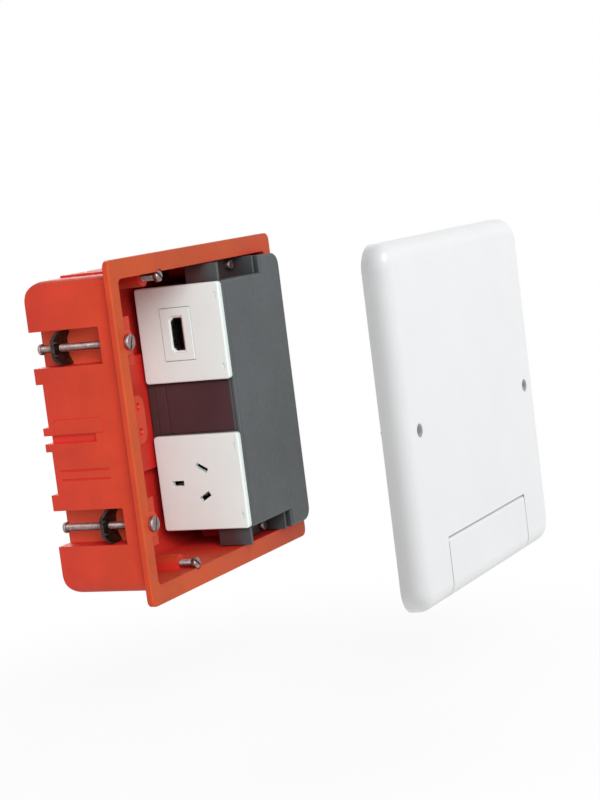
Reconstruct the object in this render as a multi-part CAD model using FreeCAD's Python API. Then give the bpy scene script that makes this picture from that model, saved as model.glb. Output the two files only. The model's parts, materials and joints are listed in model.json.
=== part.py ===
# Flush back box for a hollow wall, with its equipment insert, two modules and its cover plate.
# The frame: X to the right as seen from the room, Y into the wall, Z up, in millimetres.
# The origin is the centre of the flange's rear face, which lies on the wall.
import FreeCAD
import Part
import math
import os

V = FreeCAD.Vector

# Flange and box shell
FLANGE_W = 150.0
FLANGE_H = 150.0
FLANGE_T = 3.0
FLANGE_R = 3.5
BAND_SIDE = 4.0
BAND_TOP = 6.0
WALL = 2.5
BODY_DEPTH = 44.0
BODY_R = 5.0
BACK_R = 9.0
OUTER_EDGE = 0.6

# Shallower middle of the back, and the two ribs that cross it
STEP_END = 44.5
STEP = 3.5
RIB_W = 3.5
RIB_RISE = 3.0
RIB_GAP = 3.6

# Raised pads on the top and the bottom, next to the flange
PAD_IN = 15.5
PAD_DEPTH = 34.0
PAD_RISE = 1.0

# Marks on the sides: a groove between the ribs, a flat raised panel above it, scores below
GROOVE_DEPTH = 1.8
GROOVE_START = 17.0
PLATE_RISE = 0.3
PLATE_H = 6.4
PLATE_START = 12.5
PLATE_END = 37.5
PLATE_Z = 5.4
SCORE_DEPTH = 0.5
SCORE_W = 0.8
SCORE_PLACES = (-14.0, -18.0)

# Cable entries, as thinned rings that a blow opens
KNOCKOUT_R = 12.5
KNOCKOUT_RING = 1.2
KNOCKOUT_CUT = 1.2
KNOCKOUT_Y = 22.0
KNOCKOUT_IN = 39.0
KNOCKOUT_BACK_IN = 25.0

# Clamps: a screw in each corner of the sides, and a claw that runs along it
CLAMP_FROM_END = 29.5
CLAMP_IN = 7.5
CHANNEL_H = 16.0
CHANNEL_DEPTH = 9.5
CHANNEL_START = 8.6
CLAMP_PAD_R = 5.5
SCREW_R = 1.75
HEAD_R = 3.4
HEAD_H = 2.2
HEAD_DOME = 0.8
SLOT_W = 1.0
SLOT_DEPTH = 1.1
CLAMP_SCREW_SHORT = 4.0
CLAMP_SLOT_TURN = 20.0
TIP_R = 2.5
TIP_H = 1.4
RUNNING_GAP = 0.08
THREAD_GAP = 0.03
CLAW_T = 1.6
CLAW_OUT = 2.5
CLAW_SIDE_GAP = 0.5
CLAW_BEND = 1.8
CLAW_FLAT = 3.6
CLAW_HUB_R = 3.0
CLAW_HUB_H = 2.6
CLAW_TOOTH = 2.0
CLAW_CORNER = 3.0
UPPER_CLAW_IN = 9.5
LOWER_CLAW_IN = 22.0

# Screw bosses inside the box, and the two-hole lugs beside the opening
INSERT_BOSS_FROM_TAB = 7.5
INSERT_BOSS_FROM_WALL = 3.6
BOX_BOSS_IN = 35.5
BOX_BOSS_FROM_WALL = 2.0
BOSS_R = 4.0
BOSS_FRONT = 6.0
BOSS_END = 34.0
SMALL_HEAD_R = 2.6
BOX_SCREW_END = 22.0
BOX_HEAD_CLEAR = 0.4
BOX_SLOT_TURN = 50.0
LUG_FROM_WALL = 5.0
LUG_R = 5.0
LUG_FRONT = -1.5
LUG_END = 9.0
LUG_HOLE_R = 1.6
LUG_SECOND_HOLE = 11.0

# Equipment insert
INSERT_RIGHT_IN = 6.0
INSERT_PROUD = 7.0
INSERT_FROM_WALL = 9.0
INSERT_T = 1.5
INSERT_FRONT_T = 2.2
INSERT_FRONT_R = 1.5
INSERT_BACK_CLEAR = 1.0
INSERT_CLEAR = 0.5
TRAY_GAP = 0.3
TAB_W = 20.0
TAB_RISE = 8.0
TAB_R = 6.0
EAR_T = 2.5
EAR_CLEAR = 0.6
EAR_RIB_IN = 4.0
CHEEK_END = 9.0
HEAD_CLEAR = 0.8
INSERT_SCREW_END = 24.0
INSERT_SLOT_TURN = 15.0

# Side frame and modules: the modules fill the insert, 45 mm square in a box of this size
MODULE_APART = 25.0
MODULE_BACK_IN = 1.0
MODULE_T = 3.0
MODULE_R = 1.6
MODULE_EDGE = 0.7
MODULE_FACE = 7.0
MODULE_FRONT_IN = 1.0
MODULE_WALL = 1.2
RELEASE_IN = 2.5
RELEASE_FROM_END = 6.0
RELEASE_W = 1.0
RELEASE_H = 2.6
RELEASE_DEPTH = 0.8
MODULE_LIP = 2.8
MODULE_FIT = 0.2
FRAME_T = 2.0
BLANK_LEDGE = 0.8
BLANK_SEAM_IN = 6.0
SEAM = 0.8

# Data module
KEYSTONE_W = 16.4
KEYSTONE_H = 25.0
KEYSTONE_PROUD = 0.3
KEYSTONE_SHIFT = 2.0
KEYSTONE_GAP = 0.2
DATA_FRAME_DEPTH = 8.0
DATA_BAR = 1.0
DATA_W = 15.4
DATA_H = 5.9
DATA_WALL = 0.5
DATA_CHAMFER = 1.7
DATA_FLARE = 0.8
DATA_SET_BACK = 0.8
DATA_DEPTH = 13.0
TONGUE_W = 11.6
TONGUE_T = 1.3
TONGUE_SET_BACK = 5.2
CONTACT_COUNT = 19
CONTACT_W = 0.3
CONTACT_T = 0.12
DATA_BODY_W = 14.0
DATA_BODY_H = 21.0
DATA_BODY_DEPTH = 24.0
REAR_PLUG_DEPTH = 8.0
TONGUE_BASE_T = 2.0
REAR_TONGUE_IN = 1.3

# Power module: three slots on two circles about one centre, two of them slanted
PIN_CIRCLE = 7.92
EARTH_CIRCLE = 9.6
PIN_SLANT = 30.0
SLOT_LONG = 6.4
SLOT_SHORT = 2.4
SOCKET_SHIFT = 2.5
POWER_DEPTH = 26.0
POCKET_LONG = 9.0
POCKET_SHORT = 5.2
POCKET_DEPTH = 15.0
LEAF_T = 0.6
LEAF_LONG = 6.6
LEAF_GAP = 1.5
LEAF_DEPTH = 13.0
TERMINAL = 7.0
TERMINAL_DEPTH = 6.0
TERMINAL_MARGIN = 2.8
TERMINAL_SCREW_R = 1.5
TERMINAL_HEAD_R = 2.4
TERMINAL_HEAD_H = 1.4
WIRE_HOLE_DEPTH = 4.2
WIRE_HOLE_R = 1.3

# Cover plate, held in front of the box, and how far it hides the wall past the flange
COVER_PAST_SIDE = 4.0
COVER_PAST_END = 2.0
COVER_DEPTH = 10.5
COVER_T = 2.2
COVER_R = 11.0
SHOULDER_R = 7.5
COVER_FRONT = -122.0
COVER_ASIDE = 20.6
COVER_DROP = 8.2
COVER_SCREW_DROP = 1.5
CUP_R = 4.4
CUP_WALL = 1.5
CUP_FLOOR = 1.6
CUP_DEPTH = 6.4
SHAFT_HOLE_R = 2.0
COVER_SCREW_LENGTH = 11.0
COVER_SLOT_TURN = 35.0
LOCATOR_W = 12.0
LOCATOR_T = 1.2
LOCATOR_X = 34.0

# Cable flap in the cover's lower edge
FLAP_W = 93.0
FLAP_H = 26.5
FLAP_GAP = 0.5
KNUCKLE_R = 2.0
HINGE_PIN_R = 1.0
HINGE_PIN_OUT = 3.0
HINGE_EAR = 4.0
FINGER_W = 16.0
FINGER_DEPTH = 1.0

# How far a cut runs past the face that it opens
PAST = 1.0

# Sizes that follow
BODY_W = FLANGE_W - 2 * BAND_SIDE
BODY_H = FLANGE_H - 2 * BAND_TOP
INNER_W = BODY_W - 2 * WALL
INNER_H = BODY_H - 2 * WALL
FRONT = -FLANGE_T
STEP_HALF = BODY_H / 2 - STEP_END
PAD_HALF = BODY_W / 2 - PAD_IN
KNOCKOUT_X = BODY_W / 2 - KNOCKOUT_IN
KNOCKOUT_BACK_Z = BODY_H / 2 - KNOCKOUT_BACK_IN
CLAMP_X = FLANGE_W / 2 - CLAMP_IN
CLAMP_Z = BODY_H / 2 - CLAMP_FROM_END
CLAMP_SCREW_END = BODY_DEPTH - CLAMP_SCREW_SHORT
CHANNEL_FLOOR = BODY_W / 2 - CHANNEL_DEPTH
INSERT_BOSS_Z = INNER_H / 2 - INSERT_BOSS_FROM_WALL
BOX_BOSS_X = INNER_W / 2 - BOX_BOSS_IN
BOX_BOSS_Z = INNER_H / 2 - BOX_BOSS_FROM_WALL
COVER_SCREW_X = INNER_W / 2 - LUG_FROM_WALL
INSERT_RIGHT = FLANGE_W / 2 - INSERT_RIGHT_IN
INSERT_FRONT = FRONT - INSERT_PROUD
TRAY_BACK = FRONT - TRAY_GAP
INSERT_INNER_FRONT = INSERT_FRONT + INSERT_FRONT_T
INSERT_TOP = INNER_H / 2 - INSERT_FROM_WALL
INSERT_BACK = BODY_DEPTH - WALL - STEP - INSERT_BACK_CLEAR
HOUSING_RIGHT = CHANNEL_FLOOR - WALL - INSERT_CLEAR
FRAME_FACE = MODULE_FACE + MODULE_T
FRAME_BACK = FRAME_FACE + FRAME_T
MODULE_FRONT = INSERT_FRONT + MODULE_FRONT_IN
MODULE_BACK = INSERT_BACK - MODULE_BACK_IN
MODULE_W = MODULE_BACK - MODULE_FRONT
MODULE_H = INSERT_TOP - MODULE_APART / 2
MODULE_BODY_W = MODULE_W - 2 * MODULE_LIP
MODULE_BODY_H = MODULE_H - 2 * (INSERT_T + MODULE_FIT)
MODULE_Y = (MODULE_FRONT + MODULE_BACK) / 2
MODULE_Z = INSERT_TOP - MODULE_H / 2
TERMINAL_PITCH = (MODULE_BODY_H - 2 * TERMINAL_MARGIN) / 3
TAB_LEFT = INSERT_RIGHT - TAB_W
INSERT_BOSS_X = TAB_LEFT - INSERT_BOSS_FROM_TAB
EAR_TOP = INNER_H / 2 - EAR_CLEAR
EAR_FRONT = BOSS_FRONT - EAR_T
KEYSTONE_Y = MODULE_Y + KEYSTONE_SHIFT
SOCKET_Y = MODULE_Y + SOCKET_SHIFT
BLANK_HALF = MODULE_APART / 2 - SEAM
SOCKET_START = MODULE_FACE - KEYSTONE_PROUD + DATA_SET_BACK
SOCKET_END = SOCKET_START + DATA_DEPTH
POWER_BACK = FRAME_FACE + POWER_DEPTH
COVER_BACK = COVER_FRONT + COVER_DEPTH
COVER_W = FLANGE_W + 2 * COVER_PAST_SIDE
COVER_H = FLANGE_H + 2 * COVER_PAST_END


def block(x0, x1, y0, y1, z0, z1):
    """A box between two values on each axis, given in any order."""
    low = V(min(x0, x1), min(y0, y1), min(z0, z1))
    return Part.makeBox(abs(x1 - x0), abs(y1 - y0), abs(z1 - z0), low)


def rod_y(x, z, r, y0, y1):
    """A cylinder along Y."""
    return Part.makeCylinder(r, y1 - y0, V(x, y0, z), V(0, 1, 0))


def rod_x(y, z, r, x0, x1):
    """A cylinder along X."""
    return Part.makeCylinder(r, x1 - x0, V(x0, y, z), V(1, 0, 0))


def rounded(w, h, r, y0, y1, x=0.0, z=0.0):
    """A prism along Y with a rounded rectangle as its section."""
    solid = block(x - w / 2, x + w / 2, y0, y1, z - h / 2, z + h / 2)
    return solid.makeFillet(r, edges_along(solid, V(0, 1, 0)))


def edges_along(shape, axis):
    """The straight edges of a shape that run along an axis."""
    found = []
    for edge in shape.Edges:
        if edge.Curve.TypeId != "Part::GeomLine":
            continue
        way = edge.Vertexes[1].Point - edge.Vertexes[0].Point
        if abs(abs(way.normalize().dot(axis)) - 1) < 1e-6:
            found.append(edge)
    return found


def edges_in_plane(shape, axis, value):
    """The edges that lie in a plane across an axis: 0 for X, 1 for Y, 2 for Z."""
    name = ("X", "Y", "Z")[axis]
    found = []
    for edge in shape.Edges:
        box = edge.BoundBox
        low = getattr(box, name + "Min")
        high = getattr(box, name + "Max")
        if abs(low - value) < 1e-4 and abs(high - value) < 1e-4:
            found.append(edge)
    return found


def prism_x(points, x0, x1):
    """A prism along X over a closed outline of (y, z) points."""
    ring = [V(x0, y, z) for y, z in points]
    face = Part.Face(Part.makePolygon(ring + ring[:1]))
    return face.extrude(V(x1 - x0, 0, 0))


def prism_y(points, y0, y1):
    """A prism along Y over a closed outline of (x, z) points."""
    ring = [V(x, y0, z) for x, z in points]
    face = Part.Face(Part.makePolygon(ring + ring[:1]))
    return face.extrude(V(0, y1 - y0, 0))


def fuse(shapes):
    """Several solids as one."""
    return shapes[0].multiFuse(shapes[1:]).removeSplitter()


def fuse_group(shapes):
    """Several cutting solids as one shape."""
    return shapes[0].multiFuse(shapes[1:])


def rounded_back(w, h, back, r):
    """A block whose two long rear edges are rounded."""
    shell = block(-w / 2, w / 2, FRONT - PAST, back, -h / 2, h / 2)
    backs = [e for e in edges_in_plane(shell, 1, back) if e.BoundBox.XLength > w / 2]
    return shell.makeFillet(r, backs)


def box_body():
    """The outside of the box behind the flange, before its back is stepped."""
    body = rounded(BODY_W, BODY_H, BODY_R, FRONT, BODY_DEPTH)
    body = body.common(rounded_back(BODY_W, BODY_H, BODY_DEPTH, BACK_R))
    pads = []
    for side in (-1, 1):
        pads.append(block(-PAD_HALF, PAD_HALF, 0, PAD_DEPTH,
                          side * (BODY_H / 2 - WALL), side * (BODY_H / 2 + PAD_RISE)))
    return fuse([body] + pads)


def box_cavity():
    """The hollow inside the box, down to its stepped back wall."""
    deep = BODY_DEPTH - WALL
    cavity = rounded(INNER_W, INNER_H, BODY_R - WALL, FRONT - PAST, deep)
    cavity = cavity.common(rounded_back(INNER_W, INNER_H, deep, BACK_R - WALL))
    half = STEP_HALF + WALL
    return cavity.cut(block(-INNER_W, INNER_W, deep - STEP, deep + PAST, -half, half))


def ring_cut(place, way):
    """A ring of the cable entries' size, to cut into the face at a place, along a way."""
    start = place - way * KNOCKOUT_CUT
    depth = KNOCKOUT_CUT + PAST
    outer = Part.makeCylinder(KNOCKOUT_R, depth, start, way)
    return outer.cut(Part.makeCylinder(KNOCKOUT_R - KNOCKOUT_RING, depth, start, way))


def knockouts():
    """The thinned rings of the cable entries, on the top, the bottom and the back."""
    rings = []
    for side in (-1, 1):
        for x in (-KNOCKOUT_X, KNOCKOUT_X):
            face = V(x, KNOCKOUT_Y, side * (BODY_H / 2 + PAD_RISE))
            rings.append(ring_cut(face, V(0, 0, side)))
            back = V(x, BODY_DEPTH, side * KNOCKOUT_BACK_Z)
            rings.append(ring_cut(back, V(0, 1, 0)))
    return rings


def clamp_places():
    """Name, side and height of each clamp, and where its claw stands at rest."""
    for row, height, short in (("upper", CLAMP_Z, UPPER_CLAW_IN), ("lower", -CLAMP_Z, LOWER_CLAW_IN)):
        for name, side in (("left", -1), ("right", 1)):
            yield row + "_" + name, side, height, CLAMP_SCREW_END - short


def side_details(side):
    """What stands on one side wall: two ribs across the back, a raised plate and a lug."""
    details = []
    near = RIB_GAP / 2
    for way in (-1, 1):
        details.append(block(0, side * BODY_W / 2, BODY_DEPTH - STEP - WALL,
                             BODY_DEPTH - STEP + RIB_RISE, way * near, way * (near + RIB_W)))
    details.append(block(side * (BODY_W / 2 - WALL), side * (BODY_W / 2 + PLATE_RISE),
                         PLATE_START, PLATE_END, PLATE_Z - PLATE_H / 2, PLATE_Z + PLATE_H / 2))
    lug_x = side * COVER_SCREW_X
    lug = [rod_y(lug_x, z, LUG_R, LUG_FRONT, LUG_END) for z in (0, LUG_SECOND_HOLE)]
    lug.append(block(lug_x - side * LUG_R, lug_x, LUG_FRONT, LUG_END, 0, LUG_SECOND_HOLE))
    lug.append(block(lug_x, side * BODY_W / 2, LUG_FRONT, LUG_END, -LUG_R, LUG_SECOND_HOLE + LUG_R))
    inside = block(0, side * BODY_W / 2, LUG_FRONT, LUG_END, -BODY_H / 2, BODY_H / 2)
    details.append(fuse(lug).common(inside))
    return details


def clamp_block(side, height):
    """The thick wall around one clamp channel, and the pad under the screw's head."""
    half = CHANNEL_H / 2 + WALL
    wall = block(side * (CHANNEL_FLOOR - WALL), side * BODY_W / 2, 0, BODY_DEPTH,
                 height - half, height + half)
    return [wall, rod_y(side * CLAMP_X, height, CLAMP_PAD_R, FRONT, 0)]


def screw_boss(x, z):
    """A half-round boss on the top or the bottom wall."""
    wall = math.copysign((INNER_H + WALL) / 2, z)
    boss = rod_y(x, z, BOSS_R, BOSS_FRONT, BOSS_END)
    web = block(x - BOSS_R, x + BOSS_R, BOSS_FRONT, BOSS_END, z, wall)
    return boss.fuse(web).common(block(-BODY_W, BODY_W, 0, BODY_DEPTH, 0, wall))


def back_box():
    """The moulded box: flange, shell, clamp channels, bosses, ribs and cable entries."""
    flange = rounded(FLANGE_W, FLANGE_H, FLANGE_R, FRONT, 0)
    flange = flange.makeFillet(OUTER_EDGE, edges_in_plane(flange, 1, FRONT))
    solid = flange.fuse(box_body())
    middle = block(-BODY_W, BODY_W, BODY_DEPTH - STEP, BODY_DEPTH + PAST, -STEP_HALF, STEP_HALF)
    solid = solid.cut(middle).cut(box_cavity())

    extras = side_details(-1) + side_details(1)
    cuts = knockouts()
    for name, side, height, rest in clamp_places():
        extras += clamp_block(side, height)
        cuts.append(block(side * CHANNEL_FLOOR, side * BODY_W, CHANNEL_START, BODY_DEPTH + PAST,
                          height - CHANNEL_H / 2, height + CHANNEL_H / 2))
        cuts.append(rod_y(side * CLAMP_X, height, SCREW_R + RUNNING_GAP, FRONT - PAST, BODY_DEPTH))
    for side in (-1, 1):
        cuts.append(block(side * (BODY_W / 2 - GROOVE_DEPTH), side * BODY_W, GROOVE_START,
                          BODY_DEPTH, -RIB_GAP / 2, RIB_GAP / 2))
        for z in SCORE_PLACES:
            cuts.append(block(side * (BODY_W / 2 - SCORE_DEPTH), side * BODY_W, PLATE_START,
                              PLATE_END, z - SCORE_W / 2, z + SCORE_W / 2))
        for z in (0, LUG_SECOND_HOLE):
            cuts.append(rod_y(side * COVER_SCREW_X, z, LUG_HOLE_R, LUG_FRONT - PAST, LUG_END - WALL))
        cuts.append(rod_y(-BOX_BOSS_X, side * BOX_BOSS_Z, SMALL_HEAD_R + BOX_HEAD_CLEAR,
                          FRONT - PAST, BOSS_FRONT))
        for x, z in ((-BOX_BOSS_X, side * BOX_BOSS_Z), (INSERT_BOSS_X, side * INSERT_BOSS_Z)):
            extras.append(screw_boss(x, z))
            cuts.append(rod_y(x, z, SCREW_R + THREAD_GAP, BOSS_FRONT - PAST, BOSS_END - WALL))
    return fuse([solid] + extras).cut(fuse_group(cuts)).removeSplitter()


def screw(x, z, seat, end, head_r=HEAD_R, head_h=HEAD_H, shaft_r=SCREW_R, turn=0.0):
    """A slotted pan-head screw along Y, its head standing in front of its seat."""
    head = rod_y(x, z, head_r, seat - head_h, seat)
    rim = [e for e in edges_in_plane(head, 1, seat - head_h) if e.Closed]
    head = head.makeFillet(HEAD_DOME, rim)
    slot = block(x - SLOT_W / 2, x + SLOT_W / 2, seat - head_h - PAST, seat - head_h + SLOT_DEPTH,
                 z - head_r - PAST, z + head_r + PAST)
    slot.rotate(V(x, 0, z), V(0, 1, 0), turn)
    shaft = rod_y(x, z, shaft_r, seat, end - shaft_r / 2)
    point = Part.makeCone(shaft_r, shaft_r / 2, shaft_r / 2, V(x, end - shaft_r / 2, z), V(0, 1, 0))
    return fuse([head.cut(slot), shaft, point])


def clamp_screw(side, height):
    """A long clamp screw, with the spread tip that keeps its claw on."""
    x = side * CLAMP_X
    body = screw(x, height, FRONT, CLAMP_SCREW_END, turn=CLAMP_SLOT_TURN * side)
    return fuse([body, rod_y(x, height, TIP_R, CLAMP_SCREW_END, CLAMP_SCREW_END + TIP_H),
                 rod_y(x, height, SCREW_R, CLAMP_SCREW_END - SCREW_R, CLAMP_SCREW_END)])


def clamp_claw(side, height, rest):
    """A bent steel claw: a bowed plate with a hub on the screw and two teeth at its outer end."""
    tip = CHANNEL_H / 2 - CLAW_SIDE_GAP
    bow = [(rest, -CLAW_FLAT), (rest - CLAW_BEND, -tip), (rest - CLAW_BEND + CLAW_T, -tip),
           (rest + CLAW_T, -CLAW_FLAT), (rest + CLAW_T, CLAW_FLAT),
           (rest - CLAW_BEND + CLAW_T, tip), (rest - CLAW_BEND, tip), (rest, CLAW_FLAT)]
    outline = [(y, height + z) for y, z in bow]
    inner = CHANNEL_FLOOR + CLAW_SIDE_GAP
    outer = BODY_W / 2 + CLAW_OUT
    plate = prism_x(outline, min(side * inner, side * outer), max(side * inner, side * outer))
    corners = []
    for sign in (-1, 1):
        z = height + sign * tip
        corners.append(prism_y([(side * outer, z), (side * (outer - CLAW_CORNER), z),
                                (side * outer, z - sign * CLAW_CORNER)],
                               rest - CLAW_BEND - PAST, rest + CLAW_T + PAST))
    plate = plate.cut(fuse_group(corners))
    hub = rod_y(side * CLAMP_X, height, CLAW_HUB_R, rest, rest + CLAW_HUB_H)
    teeth = []
    for sign in (-1, 1):
        z = height + sign * (CLAW_FLAT - CLAW_T / 2)
        teeth.append(prism_x([(rest + CLAW_T / 2, z - CLAW_T / 2), (rest - CLAW_TOOTH, z),
                              (rest + CLAW_T / 2, z + CLAW_T / 2)],
                             min(side * (outer - CLAW_T), side * outer),
                             max(side * (outer - CLAW_T), side * outer)))
    solid = fuse([plate, hub] + teeth)
    hole = rod_y(side * CLAMP_X, height, SCREW_R + RUNNING_GAP, rest - CLAW_BEND - PAST,
                 rest + CLAW_HUB_H + PAST)
    return solid.cut(hole)


def tray_outline():
    """The insert's front outline: a tall rectangle with a tab at each right corner."""
    tab = INSERT_TOP + TAB_RISE
    return [(FRAME_FACE, -INSERT_TOP), (TAB_LEFT, -INSERT_TOP), (TAB_LEFT, -tab),
            (INSERT_RIGHT, -tab), (INSERT_RIGHT, tab),
            (TAB_LEFT, tab), (TAB_LEFT, INSERT_TOP), (FRAME_FACE, INSERT_TOP)]


def insert_tray():
    """The shallow front of the insert, open behind and on the side of the frame."""
    tray = prism_y(tray_outline(), INSERT_FRONT, TRAY_BACK)
    corners = [e for e in edges_along(tray, V(0, 1, 0))
               if abs(e.Vertexes[0].Point.x - INSERT_RIGHT) < 1e-4]
    tray = tray.makeFillet(TAB_R, corners)
    tray = tray.makeFillet(INSERT_FRONT_R, edges_in_plane(tray, 1, INSERT_FRONT))
    inner_r = TAB_R - INSERT_T
    inner_right = INSERT_RIGHT - INSERT_T
    tall = 2 * (INSERT_TOP + TAB_RISE - INSERT_T)
    hollows = [block(FRAME_BACK, inner_right, INSERT_INNER_FRONT, TRAY_BACK + PAST,
                     INSERT_T - INSERT_TOP, INSERT_TOP - INSERT_T),
               rounded(TAB_W - 2 * INSERT_T, tall, inner_r, INSERT_INNER_FRONT, TRAY_BACK + PAST,
                       (TAB_LEFT + INSERT_RIGHT) / 2, 0),
               block(FRAME_FACE - PAST, FRAME_BACK, INSERT_INNER_FRONT, TRAY_BACK + PAST,
                     -INNER_H, INNER_H)]
    for height in (-CLAMP_Z, CLAMP_Z):
        hollows.append(rod_y(CLAMP_X, height, HEAD_R + HEAD_CLEAR,
                             FRONT - HEAD_H - HEAD_CLEAR, TRAY_BACK + PAST))
    return tray.cut(fuse_group(hollows))


def insert_ear(side):
    """The recessed ear above or below the housing, with its ribs and its screw hole."""
    base = side * (INSERT_TOP - INSERT_T)
    top = side * EAR_TOP
    ear = block(FRAME_BACK, TAB_LEFT + INSERT_T, EAR_FRONT, BOSS_FRONT, base, top)
    wall = block(TAB_LEFT, TAB_LEFT + INSERT_T, TRAY_BACK - INSERT_T, BOSS_FRONT, base, top)
    rib_x = TAB_LEFT - EAR_RIB_IN
    rib = block(rib_x, rib_x + INSERT_T, INSERT_INNER_FRONT, EAR_FRONT, base, top)
    hole = rod_y(INSERT_BOSS_X, side * INSERT_BOSS_Z, SCREW_R + RUNNING_GAP, EAR_FRONT - PAST,
                 BOSS_FRONT + PAST)
    return fuse([ear, wall, rib]).cut(hole)


def insert_housing():
    """The grey housing: front tray, top, bottom and far walls, and the screw ears."""
    t = INSERT_T
    pieces = [insert_tray(), insert_ear(-1), insert_ear(1)]
    pieces.append(block(HOUSING_RIGHT - t, HOUSING_RIGHT, INSERT_INNER_FRONT - t / 2, INSERT_BACK,
                        -INSERT_TOP, INSERT_TOP))
    for side in (-1, 1):
        pieces.append(block(FRAME_BACK, HOUSING_RIGHT, INSERT_INNER_FRONT - t / 2, INSERT_BACK,
                            side * (INSERT_TOP - t), side * INSERT_TOP))
    return fuse(pieces)


def side_frame():
    """The upright frame that carries the modules, with a raised cheek at each end."""
    front = INSERT_INNER_FRONT + MODULE_FIT
    plate = block(FRAME_FACE, FRAME_BACK, front, INSERT_BACK, -INSERT_TOP, INSERT_TOP)
    cheeks = block(FRAME_FACE, FRAME_BACK, front, CHEEK_END, -EAR_TOP, EAR_TOP)
    near = MODULE_Y - MODULE_BODY_W / 2 - MODULE_FIT
    far = MODULE_Y + MODULE_BODY_W / 2 + MODULE_FIT
    half = MODULE_BODY_H / 2 + MODULE_FIT
    cuts = [block(FRAME_FACE - PAST, FRAME_BACK - BLANK_LEDGE, near, far, -BLANK_HALF, BLANK_HALF)]
    for z in (-MODULE_Z, MODULE_Z):
        cuts.append(block(FRAME_FACE - PAST, FRAME_BACK + PAST, near, far, z - half, z + half))
    return fuse([plate, cheeks]).cut(fuse_group(cuts))


def blank_strip():
    """The dark strip that closes the frame between the modules, with one grooved seam."""
    half = BLANK_HALF - MODULE_FIT
    reach = MODULE_BODY_W / 2
    strip = block(FRAME_FACE, FRAME_BACK - BLANK_LEDGE, MODULE_Y - reach, MODULE_Y + reach,
                  -half, half)
    seam_y = MODULE_Y + reach - BLANK_SEAM_IN
    seam = block(FRAME_FACE - PAST, FRAME_FACE + SEAM / 2, seam_y, seam_y + SEAM, -INNER_H, INNER_H)
    return strip.cut(seam)


def module_plate(z):
    """A square module face with softened edges and two small release slots, flat behind."""
    plate = block(MODULE_FACE, FRAME_FACE, MODULE_FRONT, MODULE_BACK,
                  z - MODULE_H / 2, z + MODULE_H / 2)
    plate = plate.makeFillet(MODULE_R, edges_along(plate, V(1, 0, 0)))
    plate = plate.makeFillet(MODULE_EDGE, edges_in_plane(plate, 0, MODULE_FACE))
    y = MODULE_FRONT + RELEASE_IN
    slots = [block(MODULE_FACE - PAST, MODULE_FACE + RELEASE_DEPTH, y - RELEASE_W / 2,
                   y + RELEASE_W / 2, z + place - RELEASE_H / 2, z + place + RELEASE_H / 2)
             for place in (RELEASE_FROM_END - MODULE_H / 2, MODULE_H / 2 - RELEASE_FROM_END)]
    return plate.cut(fuse_group(slots))


def data_outline(grow):
    """The data socket's outline as (y, z) points: a slim shape, narrowed on its deeper side."""
    half_w = DATA_W / 2 + grow
    half_h = DATA_H / 2 + grow
    narrow = half_w - DATA_CHAMFER
    step = DATA_CHAMFER
    return [(-half_h, -half_w), (half_h - step, -half_w), (half_h, -narrow),
            (half_h, narrow), (half_h - step, half_w), (-half_h, half_w)]


def data_prism(grow, x0, x1):
    """A prism along X with the data socket's outline, at its place in the module."""
    return prism_x([(KEYSTONE_Y + y, MODULE_Z + z) for y, z in data_outline(grow)], x0, x1)


def keystone_block(shrink, x0, x1):
    """The rectangle that the keystone carrier fills, with a margin taken off."""
    half_w = KEYSTONE_W / 2 - shrink
    half_h = KEYSTONE_H / 2 - shrink
    return block(x0, x1, KEYSTONE_Y - half_w, KEYSTONE_Y + half_w,
                 MODULE_Z - half_h, MODULE_Z + half_h)


def data_module_plate():
    """The data module's face, with the window for the keystone carrier."""
    window = keystone_block(0, MODULE_FACE - PAST, FRAME_FACE + PAST)
    return module_plate(MODULE_Z).cut(window)


def data_module_frame():
    """The data module's rear frame, with bars that hold the keystone carrier."""
    back = FRAME_FACE + DATA_FRAME_DEPTH
    half_w = MODULE_BODY_W / 2
    half_h = MODULE_BODY_H / 2
    wall = MODULE_WALL
    skirt = block(FRAME_FACE, back, MODULE_Y - half_w, MODULE_Y + half_w,
                  MODULE_Z - half_h, MODULE_Z + half_h)
    hollow = block(FRAME_FACE - PAST, back + PAST, MODULE_Y - half_w + wall, MODULE_Y + half_w - wall,
                   MODULE_Z - half_h + wall, MODULE_Z + half_h - wall)
    bars = []
    for side in (-1, 1):
        near = MODULE_Z + side * KEYSTONE_H / 2
        bars.append(block(FRAME_FACE, back, MODULE_Y - half_w, MODULE_Y + half_w,
                          near, near + side * DATA_BAR))
    return fuse([skirt.cut(hollow)] + bars)


def keystone_carrier():
    """The tall carrier with the socket's mouth in it."""
    front = MODULE_FACE - KEYSTONE_PROUD
    back = FRAME_FACE + DATA_FRAME_DEPTH
    carrier = keystone_block(KEYSTONE_GAP, front, back)
    carrier = carrier.makeFillet(KEYSTONE_PROUD, edges_in_plane(carrier, 0, front))
    mouth = data_prism(DATA_FLARE, front - PAST, SOCKET_START)
    return carrier.cut(mouth.fuse(data_prism(0, front, back + PAST)))


def socket_shell(start, end):
    """A folded metal shell with the data socket's outline, open in front and behind."""
    inner = data_prism(-DATA_WALL, start - PAST, end + PAST)
    return data_prism(0, start, end).cut(inner)


def socket_tongue(start, end):
    """A flat tongue across the middle of the data socket."""
    return block(start, end, KEYSTONE_Y - TONGUE_T / 2, KEYSTONE_Y + TONGUE_T / 2,
                 MODULE_Z - TONGUE_W / 2, MODULE_Z + TONGUE_W / 2)


def data_socket_tongue():
    """The insulating tongue in the front socket, and the block that carries it."""
    base = data_prism(-DATA_WALL, SOCKET_END - TONGUE_BASE_T, SOCKET_END)
    return fuse([base, socket_tongue(SOCKET_START + TONGUE_SET_BACK, SOCKET_END - TONGUE_BASE_T)])


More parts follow.
